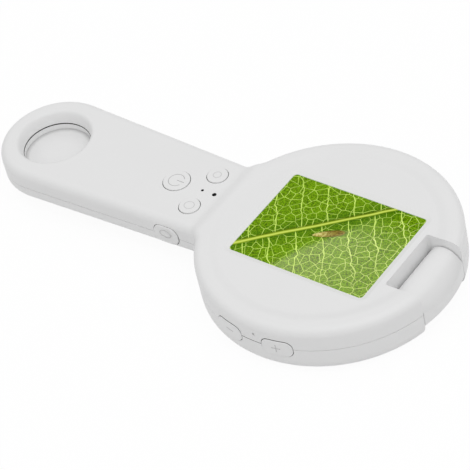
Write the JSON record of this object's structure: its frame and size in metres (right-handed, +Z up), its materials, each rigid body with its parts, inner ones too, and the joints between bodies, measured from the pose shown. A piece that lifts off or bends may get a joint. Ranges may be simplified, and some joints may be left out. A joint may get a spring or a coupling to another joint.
{
  "type": "handheld lcd digital microscope",
  "caption": "Handheld microscope with a round screen head, a flat handle with a finger eye, small push buttons and a stand hinged at the front rim.",
  "frame": {"origin": "middle of the bounding box, on the underside of the head", "axes": "+X from the finger eye along the handle to the hinge, +Y to the side of the sockets, +Z up through the screen"},
  "size_m": [0.1678, 0.083, 0.0175],
  "materials": {
    "shell_white": "fine satin",
    "button_white": "satin",
    "window_glass": "clear",
    "screen": "display surface",
    "tray_steel": "stamped",
    "board_green": "solder mask",
    "board_white": "solder mask",
    "chip_black": "moulded",
    "black_plastic": "satin",
    "lens_glass": "coated",
    "led_white": "resin",
    "diffuser_milk": "frosted",
    "cell_foil": "pouch foil",
    "switch_steel": "stamped",
    "socket_steel": "drawn",
    "pipe_clear": "clear resin",
    "boot_rubber": "soft",
    "plug_rubber": "soft",
    "screw_steel": "plated",
    "pin_steel": "ground",
    "connector_plastic": "moulded",
    "ribbon_film": "polyimide",
    "lead_jacket": "soft",
    "sleeve_plastic": "acetal"
  },
  "bodies": {
    "housing": {"top_shell": "shell_white", "bottom_shell": "shell_white", "cover_glass": "window_glass", "lcd_panel": "screen", "backlight_frame": "tray_steel", "main_board": "board_green", "board_chips": "chip_black", "image_sensor": "chip_black", "lens_holder": "black_plastic", "lens_barrel": "black_plastic", "front_lens": "lens_glass", "rear_lens": "lens_glass", "light_board": "board_white", "light_leds": "led_white", "light_diffuser": "diffuser_milk", "battery": "cell_foil", "button_board": "board_green", "top_switches": "switch_steel", "status_led": "led_white", "light_pipe": "pipe_clear", "microphone": "socket_steel", "microphone_boot": "boot_rubber", "side_switch": "switch_steel", "rim_switches": "switch_steel", "reset_switch": "switch_steel", "usb_port": "socket_steel", "card_socket": "socket_steel", "shell_screws": "screw_steel", "foot_plugs": "plug_rubber", "board_screws": "screw_steel", "hinge_pin": "pin_steel", "ribbon_connectors": "connector_plastic", "button_ribbon": "ribbon_film", "battery_leads": "lead_jacket"},
    "stand": {"stand": "shell_white", "friction_sleeves": "sleeve_plastic", "stand_pad": "plug_rubber"},
    "power_button": {"power_button": "button_white"},
    "photo_button": {"photo_button": "button_white"},
    "record_button": {"record_button": "button_white"},
    "side_button": {"side_button": "button_white"},
    "minus_button": {"minus_button": "button_white"},
    "plus_button": {"plus_button": "button_white"}
  },
  "joints": [
    {"name": "stand_hinge", "type": "hinge", "parent": "housing", "child": "stand", "pos_m": [0.07637, 0.00095, 0.0086], "axis": [0, -1, 0], "range_deg": [0, 120]},
    {"name": "power_press", "type": "slide", "parent": "housing", "child": "power_button", "axis": [0, 0, -1], "range_m": [0, 0.0004], "stiffness_N_per_m": 2500, "springref_m": -0.0001},
    {"name": "photo_press", "type": "slide", "parent": "housing", "child": "photo_button", "axis": [0, 0, -1], "range_m": [0, 0.0004], "stiffness_N_per_m": 2500, "springref_m": -0.0001},
    {"name": "record_press", "type": "slide", "parent": "housing", "child": "record_button", "axis": [0, 0, -1], "range_m": [0, 0.0004], "stiffness_N_per_m": 2500, "springref_m": -0.0001},
    {"name": "side_press", "type": "slide", "parent": "housing", "child": "side_button", "axis": [0, 1, 0], "range_m": [0, 0.0004], "stiffness_N_per_m": 2500, "springref_m": -0.0001},
    {"name": "minus_press", "type": "slide", "parent": "housing", "child": "minus_button", "axis": [0.2284, 0.9736, 0], "range_m": [0, 0.0004], "stiffness_N_per_m": 2500, "springref_m": -0.0001},
    {"name": "plus_press", "type": "slide", "parent": "housing", "child": "plus_button", "axis": [-0.1942, 0.981, 0], "range_m": [0, 0.0004], "stiffness_N_per_m": 2500, "springref_m": -0.0001}
  ]
}
